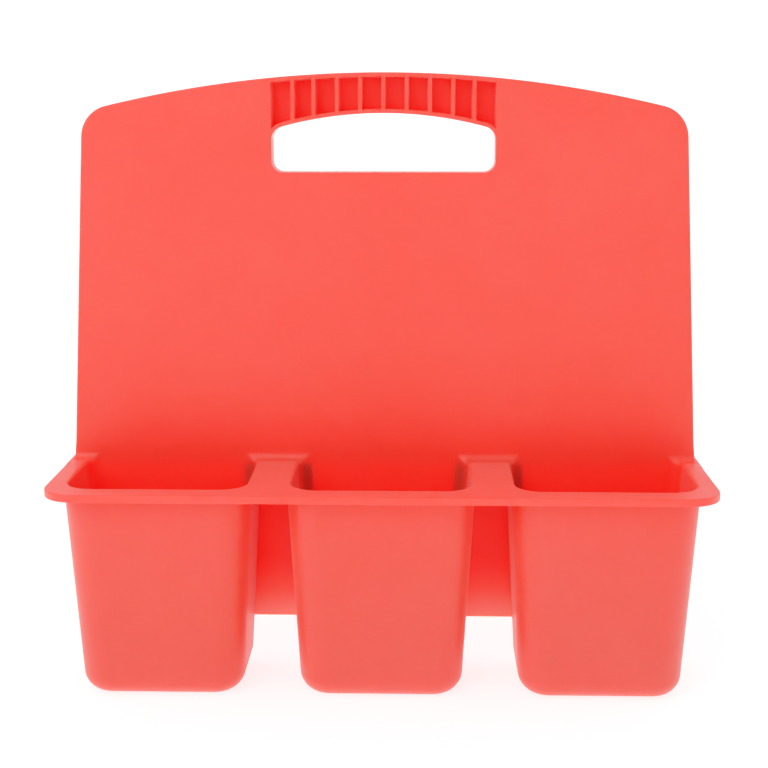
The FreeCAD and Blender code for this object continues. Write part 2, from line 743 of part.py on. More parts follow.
def main():
    cups = [make_cup("cup_left", -1), make_cup("cup_centre", 0), make_cup("cup_right", 1)]
    nodes = [
        make_back_panel(),
        make_panel_flange(),
        make_collar(),
        make_grip_back(),
        make_grip_ribs(),
        make_grip_ends(),
        make_deck(),
        make_rim_lip(),
        *cups,
        make_web(cups),
    ]
    DOC.recompute()
    for item in DOC.Objects:
        if "Invalid" in item.State or "Error" in item.State:
            raise RuntimeError(f"{item.Label} failed: {item.State}")
    os.makedirs("parts", exist_ok=True)
    for node in nodes:
        shape = node.Shape
        if shape.isNull() or not shape.isValid() or not shape.Solids:
            raise RuntimeError(f"{node.Label} has no valid solid")
        shape.exportStep(os.path.join("parts", f"{node.Label}.step"))
        box = shape.optimalBoundingBox(False)
        print(
            f"{node.Label:18} solids {len(shape.Solids)} volume {shape.Volume:10.1f}"
            f"  X {box.XMin:.2f} {box.XMax:.2f}  Y {box.YMin:.2f} {box.YMax:.2f}"
            f"  Z {box.ZMin:.2f} {box.ZMax:.2f}"
        )


main()
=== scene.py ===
import math

import bmesh
import bpy
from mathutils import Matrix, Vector
from mathutils.geometry import delaunay_2d_cdt


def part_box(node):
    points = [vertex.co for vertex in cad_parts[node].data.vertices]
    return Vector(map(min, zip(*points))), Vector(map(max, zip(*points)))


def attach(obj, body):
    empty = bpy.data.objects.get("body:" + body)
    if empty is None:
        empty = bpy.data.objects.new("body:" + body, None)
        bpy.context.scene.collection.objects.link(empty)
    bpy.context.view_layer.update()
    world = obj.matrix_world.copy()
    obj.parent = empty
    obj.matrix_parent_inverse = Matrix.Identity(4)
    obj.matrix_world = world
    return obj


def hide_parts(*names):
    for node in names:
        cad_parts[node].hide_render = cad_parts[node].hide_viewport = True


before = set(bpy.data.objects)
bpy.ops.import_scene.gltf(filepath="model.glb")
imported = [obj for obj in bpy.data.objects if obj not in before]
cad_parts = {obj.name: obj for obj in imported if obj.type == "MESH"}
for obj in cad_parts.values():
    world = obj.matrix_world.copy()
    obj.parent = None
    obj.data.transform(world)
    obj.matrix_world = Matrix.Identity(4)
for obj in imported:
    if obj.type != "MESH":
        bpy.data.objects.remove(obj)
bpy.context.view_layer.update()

MM = 0.001

# Sizes that the boxes of the CAD nodes don't give, in metres.
WALL = 2.0 * MM
COVE = 3.6 * MM                 # cove between the deck and the panel
RIM_CORNER = 15.5 * MM
RIM_REAR_CORNER = 1.8 * MM
LIP_ROUND = 0.6 * MM
MOUTH_FRONT_CORNER = 12.3 * MM
MOUTH_REAR_CORNER = 6.5 * MM
SIDE_ROUND = 1.4 * MM           # rounding of a mouth's edge along its sides and front
CORNER_ROUND = 2.6 * MM         # the same at the mouth's rear corners
REAR_ROUND = 0.8 * MM           # the same where the edge has run out into the panel
CUP_SIDE_DRAFT = math.radians(3.2)
CUP_FRONT_DRAFT = math.radians(2.7)
CUP_FOOT_ROUND = 10.0 * MM
PANEL_CROWN = 550.0 * MM
PANEL_CORNER = 15.0 * MM
PANEL_ROUND = 0.9 * MM
HOLE_CROWN = 182.0 * MM
HOLE_UPPER_CORNER = 6.0 * MM
HOLE_LOWER_CORNER = 5.0 * MM
HOLE_ROUND = 0.35 * MM
GRIP_WALL = 1.7 * MM
RIB_PITCH = 10.65 * MM
OUTER_RIB = 41.6 * MM
POCKET_ROUND = 0.25 * MM
POCKET_DRAFT = 0.3 * MM
HOLD = 0.4 * MM                 # width of the flat ring that keeps rounding out of the flat faces
HOLD_SHARE = 0.5                # the same, as a share of the rounding
WELD = 0.002 * MM

# Small distances that shape how one patch runs into the next.
SIDE_STATIONS = (8 * MM, 12 * MM, 15 * MM, 18 * MM, 20 * MM)    # depths along the rim's sides
LIP_FADE = (12 * MM, 20 * MM)   # depths between which the lip's rounding fades out
LIP_LOW_ROUND = 0.5 * MM
RIM_INNER_CORNER = 0.4 * MM
LEAST_RADIUS = 0.6 * MM         # least corner of a cup ring in the foot
PANEL_FADE = 6 * MM             # height over which the panel's edge rounding fades in
MOUTH_LEAD = 14 * MM            # length over which a mouth's rounding widens
UNDER_GAP = 0.3 * MM            # least height left under a mouth's rounding
HOLE_REAR_ROUND = 0.35 * MM
COLLAR_CLEAR = 0.3 * MM
COVE_SPACING = 1.5 * MM         # between the points that carry the cove's bend
SIDE_CLEAR = 1.2 * MM           # from those points to the panel's sides
MOUTH_CLEAR = 0.45 * MM         # and to the mouths
APART = 0.05 * MM
SAME = 0.001 * MM

BODY = "root"
CUPS = ("cup_left", "cup_centre", "cup_right")

# Looks.
SUBSURFACE = 1.0
SCATTER_LENGTH = 12.0 * MM
TONE = (0.958, 0.083, 0.059, 1.0)
PALE = (0.948, 0.093, 0.070, 1.0)
PAINTED_GLOW_COLOUR = (0.98, 0.50, 0.42, 1.0)   # painted light: the glow of the lit table through the web's foot
MATT_ROUGHNESS = 0.42
SMOOTH_ROUGHNESS = 0.26
SCUFF_HEIGHT = 7 * MM           # scuffs reach this far up from the floor
BUMP_DEPTH = 0.12 * MM
PAINTED_GLOW_HEIGHT = 34 * MM            # the web's foot carries painted light up to this height above its edge
FLOOR_GLOW = 0.66
TENT_LIGHT = 0.70
TENT_SEEN = 1.15


# ---------------------------------------------------------------- nodes and materials

def node(tree, kind, **inputs):
    """A shader node. Inputs are given by name, with spaces written as underscores."""
    made = tree.nodes.new(kind)
    for name, value in inputs.items():
        made.inputs[name.replace("_", " ")].default_value = value
    return made


def noise(tree, coordinates, scale, detail=2.0, rough=0.5):
    made = node(tree, "ShaderNodeTexNoise", Scale=scale, Detail=detail, Roughness=rough)
    tree.links.new(coordinates, made.inputs["Vector"])
    return made.outputs["Fac"]


def ramp(tree, value, low, high, low_to=0.0, high_to=1.0):
    """Takes low..high of a value to low_to..high_to, and holds it outside."""
    made = node(tree, "ShaderNodeMapRange")
    made.clamp = True
    made.inputs["From Min"].default_value = low
    made.inputs["From Max"].default_value = high
    made.inputs["To Min"].default_value = low_to
    made.inputs["To Max"].default_value = high_to
    tree.links.new(value, made.inputs["Value"])
    return made.outputs["Result"]


def math_node(tree, operation, first, second):
    made = tree.nodes.new("ShaderNodeMath")
    made.operation = operation
    for place, value in enumerate((first, second)):
        if isinstance(value, (int, float)):
            made.inputs[place].default_value = value
        else:
            tree.links.new(value, made.inputs[place])
    return made.outputs[0]


def blend_colour(tree, amount, first, second):
    made = tree.nodes.new("ShaderNodeMix")
    made.data_type = "RGBA"
    if isinstance(amount, (int, float)):
        made.inputs["Factor"].default_value = amount
    else:
        tree.links.new(amount, made.inputs["Factor"])
    for name, value in (("A", first), ("B", second)):
        socket = next(s for s in made.inputs if s.name == name and s.type == "RGBA")
        if isinstance(value, tuple):
            socket.default_value = value
        else:
            tree.links.new(value, socket)
    return next(s for s in made.outputs if s.type == "RGBA")


def plastic(name, tone, pale, matt, grain, painted_glow_span=None):
    """Injection-moulded plastic: a faint flow mottle, a fine eroded texture, scuffs at the feet, and
    painted light near the foot when a glow span is given.
    """
    material = bpy.data.materials.new(name)
    material.use_nodes = True
    tree = material.node_tree
    shader = tree.nodes["Principled BSDF"]
    place = tree.nodes.new("ShaderNodeTexCoord").outputs["Object"]
    cloud = noise(tree, place, 11.0, 3.0, 0.55)
    mottle = noise(tree, place, 95.0, 4.0, 0.6)
    speck = noise(tree, place, 1500.0, 2.0, 0.5)

    # colour: broad drift, then small mottle, then rubbed places that are a little paler
    drift = blend_colour(tree, ramp(tree, cloud, 0.35, 0.68), tone, pale)
    darker = tuple(c * 0.93 for c in tone[:3]) + (1.0,)
    mottled = blend_colour(tree, ramp(tree, mottle, 0.42, 0.72, 0.0, 0.35), drift, darker)
    height = node(tree, "ShaderNodeSeparateXYZ")
    tree.links.new(place, height.inputs[0])
    foot = ramp(tree, height.outputs["Z"], 0.0, SCUFF_HEIGHT, 1.0, 0.0)
    streaks = node(tree, "ShaderNodeMapping", Scale=(260.0, 260.0, 900.0))
    tree.links.new(place, streaks.inputs["Vector"])
    scratch = ramp(tree, noise(tree, streaks.outputs[0], 1.0, 5.0, 0.7), 0.56, 0.70)
    rubbed = math_node(tree, "MULTIPLY", scratch, foot)
    worn = tuple(min(1.0, c * 0.9 + 0.10) for c in tone[:3]) + (1.0,)
    colour = blend_colour(tree, math_node(tree, "MULTIPLY", rubbed, 0.55), mottled, worn)
    if painted_glow_span:
        # painted light: the glow that the lit table would pass through a thin wall, painted into its
        # colour near the foot
        share = ramp(tree, height.outputs["Z"], painted_glow_span[0], painted_glow_span[1], 0.9, 0.0)
        painted_glow = math_node(tree, "MULTIPLY", share, share)
        colour = blend_colour(tree, painted_glow, colour, PAINTED_GLOW_COLOUR)
    tree.links.new(colour, shader.inputs["Base Color"])

    # roughness: matt with slightly smoother clouds, rougher where rubbed
    even = ramp(tree, noise(tree, place, 38.0, 3.0, 0.6), 0.3, 0.7, matt - 0.04, matt + 0.05)
    tree.links.new(math_node(tree, "ADD", even, math_node(tree, "MULTIPLY", rubbed, 0.18)),
                   shader.inputs["Roughness"])

    # relief: eroded mould texture over a very slight waviness of the walls
    relief = math_node(tree, "ADD", math_node(tree, "MULTIPLY", speck, grain),
                       math_node(tree, "MULTIPLY", mottle, 0.35))
    bump = node(tree, "ShaderNodeBump", Strength=0.16, Distance=BUMP_DEPTH)
    tree.links.new(relief, bump.inputs["Height"])
    tree.links.new(bump.outputs["Normal"], shader.inputs["Normal"])

    shader.inputs["IOR"].default_value = 1.49
    shader.inputs["Subsurface Weight"].default_value = SUBSURFACE
    shader.inputs["Subsurface Radius"].default_value = (1.0, 0.10, 0.05)
    shader.inputs["Subsurface Scale"].default_value = SCATTER_LENGTH
    shader.inputs["Sheen Weight"].default_value = 0.22
    shader.inputs["Sheen Roughness"].default_value = 0.45
    shader.inputs["Sheen Tint"].default_value = (1.0, 0.93, 0.90, 1.0)
    return material


# ---------------------------------------------------------------- outlines

def arc_points(centre, radius, start, end, count, ease=1.0):
    """Points on an arc from start to end degrees. ease above 1 crowds them near the end."""
    points = []
    for step in range(count + 1):
        share = 1 - (1 - step / count) ** ease
        angle = math.radians(start + (end - start) * share)
        points.append((centre[0] + radius * math.cos(angle), centre[1] + radius * math.sin(angle)))
    return points


def mirrored(points):
    """The same points on the other side of x = 0, in reverse order."""
    return [(-x, y) for x, y in reversed(points)]


def round_rectangle(x0, x1, y0, y1, front, rear):
    """Anticlockwise outline seen from above, from the front right corner, with two sizes of corner."""
    right = arc_points((x1 - front, y0 + front), front, 270, 360, 14)
    right += arc_points((x1 - rear, y1 - rear), rear, 0, 90, 26, 1.6)
    middle = (x0 + x1) / 2
    left = [(2 * middle - x, y) for x, y in reversed(right)]
    return right + left


def outward(loop, distances):
    """An anticlockwise loop moved out by a distance at each point, with mitred turns."""
    moved = []
    count = len(loop)
    for place, (x, y) in enumerate(loop):
        before, after = loop[place - 1], loop[(place + 1) % count]
        normals = []
        for (ax, ay), (bx, by) in ((before, (x, y)), ((x, y), after)):
            dx, dy = bx - ax, by - ay
            length = math.hypot(dx, dy)
            normals.append((dy / length, -dx / length))
        (nx, ny), (mx, my) = normals
        share = distances[place] / (1 + nx * mx + ny * my)
        moved.append((x + (nx + mx) * share, y + (ny + my) * share))
    return moved


def moved_out(loop, distance):
    return outward(loop, [distance] * len(loop))


def corner_centre(crown_centre, crown, corner, half, lean):
    """Centre of a corner arc that touches a crown arc inside and a leaning side line."""
    slope = math.tan(lean)
    reach = half - corner / math.cos(lean)
    gap = crown - corner
    square = slope * slope + 1
    linear = -2 * (reach * slope + crown_centre)
    constant = reach * reach + crown_centre * crown_centre - gap * gap
    height = (-linear + math.sqrt(linear * linear - 4 * square * constant)) / (2 * square)
    return reach - slope * height, height


def smooth_step(value, low, high):
    share = min(1.0, max(0.0, (value - low) / (high - low)))
    return share * share * (3 - 2 * share)


def inside(point, loop):
    """Whether a flat point lies inside a loop."""
    x, y = point
    within = False
    for place, (bx, by) in enumerate(loop):
        ax, ay = loop[place - 1]
        if (ay > y) != (by > y) and x < ax + (y - ay) / (by - ay) * (bx - ax):
            within = not within
    return within


# ---------------------------------------------------------------- mesh helpers

class Shell:
    """Faces gathered from patches whose borders share the same points, and welded at the end."""

    def __init__(self):
        self.mesh = bmesh.new()

    def ring(self, points):
        return [self.mesh.verts.new(p) for p in points]

    def face(self, points):
        self.mesh.faces.new(self.ring(points))

    def band(self, lower, upper, closed=True, finish=0):
        """Quads between two rows of points of the same length."""
        a, b = self.ring(lower), self.ring(upper)
        count = len(a)
        for i in range(count if closed else count - 1):
            j = (i + 1) % count
            self.mesh.faces.new((a[i], a[j], b[j], b[i])).material_index = finish

    def rounding(self, start, tip, end, steps, closed=True, finish=0):
        """A rounded edge from start to end that leans on the sharp edge at tip."""
        before = start
        for step in range(1, steps + 1):
            t = step / steps
            weights = (1 - t) ** 2, 2 * t * (1 - t), t * t
            row = [tuple(weights[0] * q[i] + weights[1] * p[i] + weights[2] * w[i] for i in range(3))
                   for q, p, w in zip(start, tip, end)]
            self.band(before, row, closed, finish)
            before = row

    def sheet(self, outline, holes, inner, lift):
        """Triangles between a flat outline and its holes, through inner points, put in place by lift."""
        flat = list(outline)
        edges = [(i, (i + 1) % len(outline)) for i in range(len(outline))]
        for hole in holes:
            start = len(flat)
            flat += hole
            edges += [(start + i, start + (i + 1) % len(hole)) for i in range(len(hole))]
        flat += inner
        scaled = [Vector((x / MM, y / MM)) for x, y in flat]
        points, _, faces, *_ = delaunay_2d_cdt(scaled, edges, [], 1, 1e-5)
        verts = self.ring([lift(p.x * MM, p.y * MM) for p in points])
        for face in faces:
            middle = [sum(points[i][axis] for i in face) * MM / 3 for axis in (0, 1)]
            if not any(inside(middle, hole) for hole in holes):
                self.mesh.faces.new([verts[i] for i in face])

    def finish(self, name, sharp_over=35.0):
        mesh = self.mesh
        bmesh.ops.remove_doubles(mesh, verts=mesh.verts, dist=WELD)
        bmesh.ops.dissolve_degenerate(mesh, edges=mesh.edges, dist=WELD)
        bmesh.ops.recalc_face_normals(mesh, faces=mesh.faces)
        if mesh.calc_volume(signed=True) < 0:
            bmesh.ops.reverse_faces(mesh, faces=mesh.faces)
        data = bpy.data.meshes.new(name)
        mesh.to_mesh(data)
        mesh.free()
        data.shade_smooth()
        data.set_sharp_from_angle(angle=math.radians(sharp_over))
        made = bpy.data.objects.new(name, data)
        bpy.context.scene.collection.objects.link(made)
        return made


# ---------------------------------------------------------------- the moulding

# Heights and depths that several patches share, from the boxes of the CAD nodes.
DECK_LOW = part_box("deck")[0]
PLATE_LOW, PLATE_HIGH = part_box("back_panel")
FLANGE_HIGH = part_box("panel_flange")[1]
RIM_LOW, RIM_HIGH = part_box("rim_lip")
HOLE_LOW, HOLE_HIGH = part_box("hand_hole_collar")
TOP = RIM_HIGH.z
UNDER = DECK_LOW.z
FACE = PLATE_LOW.y
BACK = FACE + WALL
REAR = FLANGE_HIGH.y
LEAN = math.radians(3.25)
COVE_START = FACE - COVE
FLAT_LENGTH = COVE_START - RIM_LOW.y
COVE_LENGTH = COVE * math.pi / 2


def lift(x, s):
    """A point of the front sheet: level along the deck, up the cove, then up the panel's face."""
    if s <= FLAT_LENGTH:
        return (x, RIM_LOW.y + s, TOP)
    if s <= FLAT_LENGTH + COVE_LENGTH:
        turn = (s - FLAT_LENGTH) / COVE
        return (x, COVE_START + COVE * math.sin(turn), TOP + COVE * (1 - math.cos(turn)))
    return (x, FACE, TOP + COVE + s - FLAT_LENGTH - COVE_LENGTH)


def along_deck(y):
    if y <= COVE_START:
        return y - RIM_LOW.y
    return FLAT_LENGTH + COVE * math.asin(min(1.0, (y - COVE_START) / COVE))


def along_panel(z):
    return FLAT_LENGTH + COVE_LENGTH + z - TOP - COVE


def panel_chain(inset_at):
    """The panel's outline, from foot to foot over the crown, moved in by inset_at(height)."""
    half = FLANGE_HIGH.x + math.tan(LEAN) * TOP
    crown_centre = PLATE_HIGH.z - PANEL_CROWN
    cx, cz = corner_centre(crown_centre, PANEL_CROWN, PANEL_CORNER, half, LEAN)
    turn = math.atan2(cz - crown_centre, cx)
    steps = (0.6, 1.2, 2.0, 3.0, 4.2, 5.6, 7.0)     # close together where the edge rounding fades in
    heights = [TOP, TOP + COVE] + [TOP + COVE + step * MM for step in steps]
    right = []
    for z in heights:
        right.append((half - math.tan(LEAN) * z, z, math.cos(LEAN), math.sin(LEAN)))
    for step in range(19):
        angle = LEAN + (turn - LEAN) * step / 18
        right.append((cx + PANEL_CORNER * math.cos(angle), cz + PANEL_CORNER * math.sin(angle),
                      math.cos(angle), math.sin(angle)))
    for step in range(1, 31):
        angle = turn + (math.pi / 2 - turn) * step / 30
        right.append((PANEL_CROWN * math.cos(angle), crown_centre + PANEL_CROWN * math.sin(angle),
                      math.cos(angle), math.sin(angle)))
    left = [(-x, z, -nx, nz) for x, z, nx, nz in reversed(right[:-1])]
    return [(x - nx * inset_at(z), z - nz * inset_at(z)) for x, z, nx, nz in right + left]


SIDE_FOOT = panel_chain(lambda z: 0.0)[0][0]
COVE_ROWS = [FLAT_LENGTH + COVE_LENGTH * i / 12 for i in range(13)]


def grip_curves():
    """Centres and radii of the hand hole's arch and upper corners, and where they touch."""
    half = HOLE_HIGH.x - GRIP_WALL
    top = HOLE_HIGH.z - GRIP_WALL
    centre = top - HOLE_CROWN
    cx, cz = corner_centre(centre, HOLE_CROWN, HOLE_UPPER_CORNER, half, 0.0)
    return half, centre, cx, cz, math.atan2(cz - centre, cx)


def hand_hole(outset):
    """The hand hole's outline, anticlockwise seen from the front, moved out by outset."""
    half, centre, cx, cz, turn = grip_curves()
    foot = HOLE_LOW.z + GRIP_WALL
    low = HOLE_LOWER_CORNER
    turn = math.degrees(turn)
    right = arc_points((half - low, foot + low), low + outset, 270, 360, 14)
    right += arc_points((cx, cz), HOLE_UPPER_CORNER + outset, 0, turn, 16)
    right += arc_points((0, centre), HOLE_CROWN + outset, turn, 90, 26)[1:]
    return right + mirrored(right[:-1])


def pocket_outline(x0, x1):
    """One pocket of the grip, from its floor over the hand hole to its roof under the crown."""
    half, centre, cx, cz, turn = grip_curves()
    arch = HOLE_CROWN + GRIP_WALL
    shoulder = HOLE_UPPER_CORNER + GRIP_WALL
    touch = arch * math.cos(turn)
    roof = PANEL_CROWN - WALL
    roof_centre = PLATE_HIGH.z - PANEL_CROWN

    def floor_at(x):
        if abs(x) <= touch:
            return centre + math.sqrt(arch * arch - x * x)
        return cz + math.sqrt(shoulder * shoulder - (abs(x) - cx) ** 2)

    steps = 10
    across = [x0 + (x1 - x0) * i / steps for i in range(steps + 1)]
    floor = [(x, floor_at(x)) for x in across]
    ceiling = [(x, roof_centre + math.sqrt(roof * roof - x * x)) for x in reversed(across)]
    return floor + ceiling


def rim_loop(inset, front_corner, rear_corner):
    """The rim's outline seen from above, with the same points whatever the inset."""
    half = RIM_HIGH.x - inset
    y0, y1 = RIM_LOW.y + inset, RIM_HIGH.y - inset
    right = arc_points((half - front_corner, y0 + front_corner), front_corner, 270, 360, 16)
    right += [(half, y) for y in SIDE_STATIONS + (COVE_START,)]
    right += arc_points((half - rear_corner, y1 - rear_corner), rear_corner, 0, 90, 8)
    feet = [FLANGE_HIGH.x, FLANGE_HIGH.x - WALL / math.cos(LEAN)]
    right += [(min(x, half - rear_corner - (2 - i) * APART), y1) for i, x in enumerate(feet)]
    return right + mirrored(right)


def cup_ring(centre_x, half, front, rear, radii, inset, z):
    near, far = (max(r - inset, LEAST_RADIUS) for r in radii)
    loop = round_rectangle(centre_x - half + inset, centre_x + half - inset,
                           front + inset, rear - inset, near, far)
    return [(x, y, z) for x, y in loop]


def cup_rings(centre_x, half, front, rear, radii, floor, foot_round):
    """A cup's wall from the deck's underside to its rounded foot, as rings, outside or inside."""
    rings = []
    first = math.radians(3.0)       # the foot's arc starts where it meets the drafted wall
    bend_top = floor + foot_round * (1 - math.sin(first))
    wall_steps, foot_steps = 6, 12
    for step in range(wall_steps + 1):
        z = UNDER + (bend_top - UNDER) * step / wall_steps
        drop = UNDER - z
        rings.append(cup_ring(centre_x, half - math.tan(CUP_SIDE_DRAFT) * drop,
                              front + math.tan(CUP_FRONT_DRAFT) * drop, rear, radii, 0.0, z))
    drop = UNDER - bend_top
    for step in range(1, foot_steps + 1):
        angle = first + (math.pi / 2 - first) * step / foot_steps
        inset = foot_round * (math.cos(first) - math.cos(angle))
        z = floor + foot_round * (1 - math.sin(angle))
        rings.append(cup_ring(centre_x, half - math.tan(CUP_SIDE_DRAFT) * drop,
                              front + math.tan(CUP_FRONT_DRAFT) * drop, rear, radii, inset, z))
    return rings


def level(points, z):
    return [(x, y, z) for x, y in points]


def upright(points, y):
    return [(x, y, z) for x, z in points]


def panel_round_at(z):
    """Rounding of the panel's front edge, which fades out above the cove."""
    return PANEL_ROUND * smooth_step(z, TOP + COVE, TOP + COVE + PANEL_FADE)


def root_x(s):
    """Half width of the leaning root, at a place along the front sheet."""
    return SIDE_FOOT - math.tan(LEAN) * (lift(0, s)[2] - TOP)


def add_rim(shell):
    """The rim's rounded upper edge, which fades out beside the panel, and the lip to the underside."""
    outer = rim_loop(0.0, RIM_CORNER, RIM_REAR_CORNER)
    fades = [LIP_ROUND * (1 - smooth_step(y, *LIP_FADE)) for _, y in outer]
    edge = outward(outer, [-f for f in fades])
    hold = outward(outer, [-f * (1 + HOLD_SHARE) for f in fades])
    shell.band(level(hold, TOP), level(edge, TOP))
    wall = [(x, y, TOP - f) for (x, y), f in zip(outer, fades)]
    shell.rounding(level(edge, TOP), level(outer, TOP), wall, 4)

    inner = rim_loop(WALL, RIM_CORNER - WALL, RIM_INNER_CORNER)
    low = RIM_LOW.z
    low_edge = rim_loop(LIP_LOW_ROUND, RIM_CORNER - LIP_LOW_ROUND, RIM_REAR_CORNER - LIP_LOW_ROUND)
    shell.band(wall, level(outer, low + LIP_LOW_ROUND))
    shell.rounding(level(outer, low + LIP_LOW_ROUND), level(outer, low), level(low_edge, low), 3)
    shell.band(level(low_edge, low), level(inner, low))
    shell.band(level(inner, low), level(inner, UNDER))
    return outer, hold, inner


def mouth_round_at(y):
    """Rounding of a mouth's edge: wider towards the rear corners, narrow where it runs out."""
    lead = smooth_step(y, FACE - MOUTH_REAR_CORNER - MOUTH_LEAD, FACE - MOUTH_REAR_CORNER)
    reach = max(0.0, (y - FACE + MOUTH_REAR_CORNER) / MOUTH_REAR_CORNER)
    return (SIDE_ROUND + (CORNER_ROUND - SIDE_ROUND) * lead
            + (REAR_ROUND - CORNER_ROUND) * reach ** 6)


def add_mouth(shell, plan):
    """One mouth's rounded edge, from the hold ring in the sheet to the top of its wall."""
    rounds = [mouth_round_at(y) for _, y in plan]
    drops = [min(r, lift(x, along_deck(y))[2] - UNDER - UNDER_GAP) for r, (x, y) in zip(rounds, plan)]
    flat = [(x, along_deck(y)) for x, y in plan]
    edge = outward(flat, rounds)
    hold = outward(flat, [r + HOLD for r in rounds])
    on_edge = [lift(x, s) for x, s in edge]
    tip = [lift(x, s) for x, s in flat]
    wall = [(x, y, z - d) for (x, y, z), d in zip(tip, drops)]
    shell.band([lift(x, s) for x, s in hold], on_edge)
    shell.rounding(on_edge, tip, wall, 7)
    return hold, wall


def add_cups(shell, rim_inner):
    """The three mouths and cups, and the deck's underside between the cups and the lip."""
    mouths, cup_outers = [], []
    inner_radii = (MOUTH_FRONT_CORNER, MOUTH_REAR_CORNER)
    outer_radii = tuple(r + WALL for r in inner_radii)
    for name in CUPS:
        low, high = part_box(name)
        centre_x, half = (low.x + high.x) / 2, (high.x - low.x) / 2
        plan = round_rectangle(low.x + WALL, high.x - WALL, low.y + WALL, FACE, *inner_radii)
        hold, wall = add_mouth(shell, plan)
        mouths.append(hold)
        inner = cup_rings(centre_x, half - WALL, low.y + WALL, FACE, inner_radii,
                          WALL, CUP_FOOT_ROUND - WALL)
        outside = cup_rings(centre_x, half, low.y, high.y, outer_radii, 0.0, CUP_FOOT_ROUND)
        shell.band(wall, inner[0])
        for rings in (inner, outside):
            for first, second in zip(rings, rings[1:]):
                shell.band(first, second)
            shell.face(rings[-1])
        cup_outers.append([(x, y) for x, y, _ in outside[0]])
    shell.sheet(rim_inner, cup_outers, [], lambda x, y: (x, y, UNDER))
    return mouths


def add_panel_edge(shell, full):
    """The rounded front edge of the panel, up one side, over the crown and down."""
    front_edge = panel_chain(panel_round_at)
    front_hold = panel_chain(lambda z: panel_round_at(z) * (1 + HOLD_SHARE))
    kept = slice(1, len(full) - 1)          # from the cove's top on one side to the other
    shell.band(upright(front_hold[kept], FACE), upright(front_edge[kept], FACE), closed=False)
    front_wall = [(x, FACE + panel_round_at(z), z) for x, z in full]
    shell.rounding(upright(front_edge[kept], FACE), upright(full[kept], FACE),
                   front_wall[kept], 5, closed=False)
    return front_hold, front_wall


def add_hand_hole(shell):
    """The wall of the hand hole, rounded at both ends."""
    plain = hand_hole(0.0)
    edge = hand_hole(HOLE_ROUND)
    hold = hand_hole(HOLE_ROUND + HOLD)
    front, rear = FACE + HOLE_ROUND, REAR - HOLE_REAR_ROUND
    shell.band(upright(hold, FACE), upright(edge, FACE))
    shell.rounding(upright(edge, FACE), upright(plain, FACE), upright(plain, front), 4)
    shell.band(upright(plain, front), upright(plain, rear), finish=1)
    shell.rounding(upright(plain, rear), upright(plain, REAR),
                   upright(hand_hole(HOLE_REAR_ROUND), REAR), 3)
    return hold


def add_pockets(shell):
    """The ten pockets between the ribs of the grip."""
    half = HOLE_HIGH.x - GRIP_WALL
    centres = [-OUTER_RIB] + [RIB_PITCH * i for i in range(-3, 4)] + [OUTER_RIB]
    starts = [-half] + [c + GRIP_WALL / 2 for c in centres]
    ends = [c - GRIP_WALL / 2 for c in centres] + [half]
    floor_y = REAR - WALL
    holds = []
    for x0, x1 in zip(starts, ends):
        loop = pocket_outline(x0, x1)
        edge = moved_out(loop, POCKET_ROUND)
        hold = moved_out(loop, POCKET_ROUND * (1 + HOLD_SHARE))
        shell.band(upright(hold, FACE), upright(edge, FACE))
        shell.rounding(upright(edge, FACE), upright(loop, FACE), upright(loop, FACE + POCKET_ROUND), 3)
        drafted = moved_out(loop, -POCKET_DRAFT)
        shell.band(upright(loop, FACE + POCKET_ROUND), upright(drafted, floor_y))
        shell.face(upright(drafted, floor_y))
        holds.append(hold)
    return holds


def cove_points(mouths):
    """Points that carry the cove's bend through the sheet, clear of its borders."""
    points = []
    steps = int(2 * SIDE_FOOT / COVE_SPACING)
    for s in COVE_ROWS[1:] + [FLAT_LENGTH - 2 * MM, FLAT_LENGTH, COVE_ROWS[-1] + 0.8 * MM]:
        for i in range(1, steps):
            point = (-SIDE_FOOT + 2 * SIDE_FOOT * i / steps, s)
            if abs(point[0]) > SIDE_FOOT - SIDE_CLEAR or any(inside(point, h) for h in mouths):
                continue
            gap = min((point[0] - x) ** 2 + (point[1] - y) ** 2 for h in mouths for x, y in h)
            if gap > MOUTH_CLEAR ** 2:
                points.append(point)
    return points


def add_front_sheet(shell, rim_hold, front_hold, mouths, on_panel):
    """The deck, the cove and the panel's face, in one sheet with holes."""
    level_part = [(x, y) for x, y in rim_hold if y <= COVE_START + SAME]
    half_count = len(level_part) // 2
    outline = [(x, y - RIM_LOW.y) for x, y in level_part[:half_count]]
    outline += [(root_x(s), s) for s in COVE_ROWS]
    outline += [(x, along_panel(z)) for x, z in front_hold[2:-2]]
    outline += [(-root_x(s), s) for s in reversed(COVE_ROWS)]
    outline += [(x, y - RIM_LOW.y) for x, y in level_part[half_count:]]
    holes = mouths + [[(x, along_panel(z)) for x, z in hold] for hold in on_panel]
    shell.sheet(outline, holes, cove_points(mouths), lift)


def add_margins(shell, rim_outer):
    """The level margins beside the panel's foot, and the cove's two ends."""
    beyond = [(x, y) for x, y in rim_outer if y >= COVE_START - SAME]
    margin = [p for p in beyond[:len(beyond) // 2] if p[0] > SIDE_FOOT - SAME]
    for sign in (1, -1):
        shell.face([(sign * x, y, TOP) for x, y in margin]
                   + [(sign * SIDE_FOOT, FACE, TOP), (sign * SIDE_FOOT, COVE_START, TOP)])
        shell.face([(sign * x, y, z) for x, y, z in (lift(root_x(s), s) for s in COVE_ROWS)]
                   + [(sign * SIDE_FOOT, FACE, TOP)])


